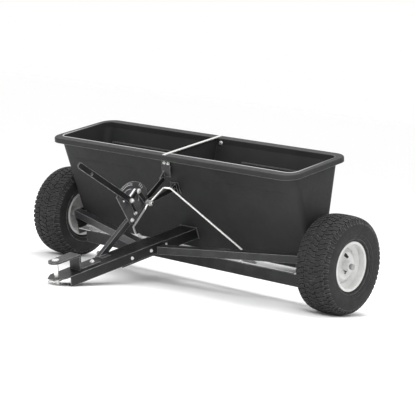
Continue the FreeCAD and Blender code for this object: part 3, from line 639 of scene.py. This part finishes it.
def flat_bar(name, slot, body, ends, width, span, finish=None):
    """A piece made of one flat bar between two Y-Z ends, over a span in X."""
    bm = bmesh.new()
    plate_along(bm, *ends, width, *span)
    add_piece(name, bm, slot, body, finish=finish)


flat_bar("lug_flange", "galvanised", "lever", (lug_point(7, 13.2), lug_point(40, 13.2)), 3.0,
         (-19.0, -13.6))
# The lug web is in the black powder coat painted lighter as painted light.
flat_bar("lug_web", "black_steel", "lever", (lug_point(9, 9.5), lug_point(38, 9.5)), 5.0,
         (-18.9, -15.5), PAINTED_LIT_BLACK)
flat_bar("stop_bar", "black_steel", "spreader_frame", ((-303.5, 194), (-286, 157)), 12.0,
         (GAUGE_FACE - 0.2, GAUGE_FACE + 3.5))

# ---------------------------------------------------------------- hopper mouldings
HOPPER_CENTRE, FLOOR_HALF, FLOOR_BOTTOM, SLOPE, WALL = 3.5, 22.5, -35.0, 105 / 340, 4.5


def wall_y(side, z, proud=0.0):
    """Y of the hopper's front (-1) or rear (1) wall outside, moved out by a proud amount."""
    return HOPPER_CENTRE + side * (FLOOR_HALF + SLOPE * (z - FLOOR_BOTTOM) + proud)


def moulded_step(bm, side, x0, x1, z, proud=1.8, height=6.0, run_out=30.0):
    """A shallow moulded rib, proud along its lower edge, that runs out into the wall at both ends."""
    places = ((x0, 0.0), (x0 + run_out, proud), (x1 - run_out, proud), (x1, 0.0))
    rows = []
    for x, out in places:
        rows.append([bm.verts.new((x, wall_y(side, h, d), h))
                     for h, d in ((z - 2.5, -0.6), (z, out - 0.05), (z + height, -0.6))])
    for a, b in zip(rows, rows[1:]):
        skin(bm, a, b)
    bm.faces.new(rows[0])
    bm.faces.new(rows[-1])


def inner_ledge(bm, side, x0, x1, z, proud=4.5):
    """A narrow ledge on the inside of a wall."""
    outline = [(wall_y(side, z, 0.5 - WALL), z), (wall_y(side, z, -WALL - proud), z - 1.5),
               (wall_y(side, z - 5, -WALL - proud), z - 5), (wall_y(side, z - 9, 0.5 - WALL), z - 9)]
    prism(bm, outline, x0, x1)


STEP_HEIGHT, LEDGE_RISE = 244.0, 14.0
STEP_SPANS = ((-491, -167), (127, 491))


def wall_mouldings(name, shape, z, smooth_angle, finish):
    """One kind of moulding in both compartments, on the front and the rear wall."""
    bm = bmesh.new()
    for side in (-1, 1):
        for x0, x1 in STEP_SPANS:
            shape(bm, side, x0, x1, z)
    add_piece(name, bm, "hopper_plastic", "spreader_frame", smooth_angle, finish)


wall_mouldings("hopper_steps", moulded_step, STEP_HEIGHT, 60, PLASTIC_NO_EDGE_HIGHLIGHT)
wall_mouldings("hopper_ledges", inner_ledge, STEP_HEIGHT + LEDGE_RISE, 35, None)

LIP_TOP, MOUTH_HALF_X, MOUTH_HALF_Y, MOUTH_CORNER = 325.0, 527.5, 123.0, 29.5
UP = Vector((0, 0, 1))


def lip_bead():
    """The rounded bead along the inner edge of the lip, its material a painted highlight."""
    bm = bmesh.new()
    radius, around, steps = 2.6, 10, 12
    path = []
    for sx, sy, start in ((1, 1, 0), (-1, 1, 90), (-1, -1, 180), (1, -1, 270)):
        for k in range(steps + 1):
            a = math.radians(start + 90 * k / steps)
            out = Vector((math.cos(a), math.sin(a), 0))
            corner = Vector((sx * (MOUTH_HALF_X - MOUTH_CORNER),
                             sy * (MOUTH_HALF_Y - MOUTH_CORNER) + HOPPER_CENTRE, LIP_TOP - 0.9))
            path.append((corner + out * (MOUTH_CORNER + 2.2), out))
    rings = []
    for middle, out in path:
        angles = [2 * math.pi * k / around for k in range(around)]
        rings.append([bm.verts.new(middle + radius * (out * math.cos(t) + UP * math.sin(t)))
                      for t in angles])
    for a, b in zip(rings, rings[1:] + rings[:1]):
        skin(bm, a, b)
    # Painted highlight on the bead: pale along the front, dark at the rear.
    add_piece("lip_bead", bm, "hopper_plastic", "spreader_frame", 60, PAINTED_HIGHLIGHT_EDGE)


lip_bead()

# ---------------------------------------------------------------- closure plate's return spring
SPRING_AT = (246.0, -50.0, -33.6)
SPRING_LENGTH, SPRING_TURNS, SPRING_RADIUS, WIRE = 52.0, 11, 4.0, 0.8


def spring():
    """A small coil spring on its pin, lying on the closure plate by the right rod's hook."""
    bm = bmesh.new()
    place = Matrix.Translation(Vector(SPRING_AT)) @ facing((1, 0, 0))
    lathe(bm, [(0, -6), (1.9, -6), (1.9, SPRING_LENGTH + 6), (0, SPRING_LENGTH + 6)], place, 12)
    steps, around = SPRING_TURNS * 16, 8
    rings = []
    for i in range(steps + 1):
        a = 2 * math.pi * SPRING_TURNS * i / steps
        out = Vector((math.cos(a), math.sin(a), 0))
        middle = SPRING_RADIUS * out + UP * (SPRING_LENGTH * i / steps)
        angles = [2 * math.pi * k / around for k in range(around)]
        rings.append([bm.verts.new(place @ (middle + WIRE * (out * math.cos(t) + UP * math.sin(t))))
                      for t in angles])
    for a, b in zip(rings, rings[1:]):
        skin(bm, a, b)
    bm.faces.new(rings[0])
    bm.faces.new(rings[-1])
    add_piece("return_spring", bm, "zinc", "shutter", finish=DRAWN_STEEL)


spring()

# ---------------------------------------------------------------- floor, light, camera
floor_bm = bmesh.new()
bmesh.ops.create_grid(floor_bm, x_segments=8, y_segments=8, size=60)
floor_mesh = bpy.data.meshes.new("floor")
floor_bm.to_mesh(floor_mesh)
floor_bm.free()
floor = bpy.data.objects.new("floor", floor_mesh)
bpy.context.scene.collection.objects.link(floor)
floor_mesh.materials.append(principled("pale_floor", (0.99, 0.99, 0.99), 0.8)[0])

world = bpy.data.worlds.new("studio")
bpy.context.scene.world = world
world.use_nodes = True
world.node_tree.nodes["Background"].inputs["Color"].default_value = (1, 1, 1, 1)
world.node_tree.nodes["Background"].inputs["Strength"].default_value = 1.0
bpy.context.scene.view_settings.view_transform = "Standard"


def soft_light(name, at, aim, size, power):
    lamp = bpy.data.lights.new(name, "AREA")
    lamp.shape = "RECTANGLE"
    lamp.size, lamp.size_y = size
    lamp.energy = power
    obj = bpy.data.objects.new(name, lamp)
    bpy.context.scene.collection.objects.link(obj)
    obj.location = at
    obj.rotation_euler = (Vector(aim) - Vector(at)).to_track_quat("-Z", "Y").to_euler()


soft_light("key", (1.6, -2.2, 2.8), (0, 0, 0.3), (2.0, 1.6), 70)
soft_light("top", (0.0, 0.6, 3.2), (0, 0, 0.3), (2.6, 1.6), 60)

AZIMUTH, ELEVATION = math.radians(40.58), math.radians(12.62)
RIGHT = Vector((math.cos(AZIMUTH), math.sin(AZIMUTH), 0))
BACK = Vector((math.sin(AZIMUTH) * math.cos(ELEVATION), -math.cos(AZIMUTH) * math.cos(ELEVATION),
               math.sin(ELEVATION)))
TARGET = RIGHT * 34.4 + Vector((0, 0, 101.1))
DISTANCE = 5762.0
# how far the tongue is held up from level
HELD_PITCH = math.radians(4.69)
SENSOR_WIDTH = 36.0
FOCAL_RATIO = 1651.3 / 415
camera_data = bpy.data.cameras.new("camera")
camera_data.sensor_width = SENSOR_WIDTH
camera_data.lens = SENSOR_WIDTH * FOCAL_RATIO
camera_data.clip_end = 200
camera = bpy.data.objects.new("camera", camera_data)
bpy.context.scene.collection.objects.link(camera)
axes = Matrix((RIGHT, BACK.cross(RIGHT), BACK)).transposed().to_4x4()
turn = Matrix.Rotation(TIP - HELD_PITCH, 4, "X")
place = Matrix.Translation((TARGET + BACK * DISTANCE) * 0.001)
camera.matrix_world = Matrix.Translation(AXLE) @ turn @ place @ axes
bpy.context.scene.camera = camera
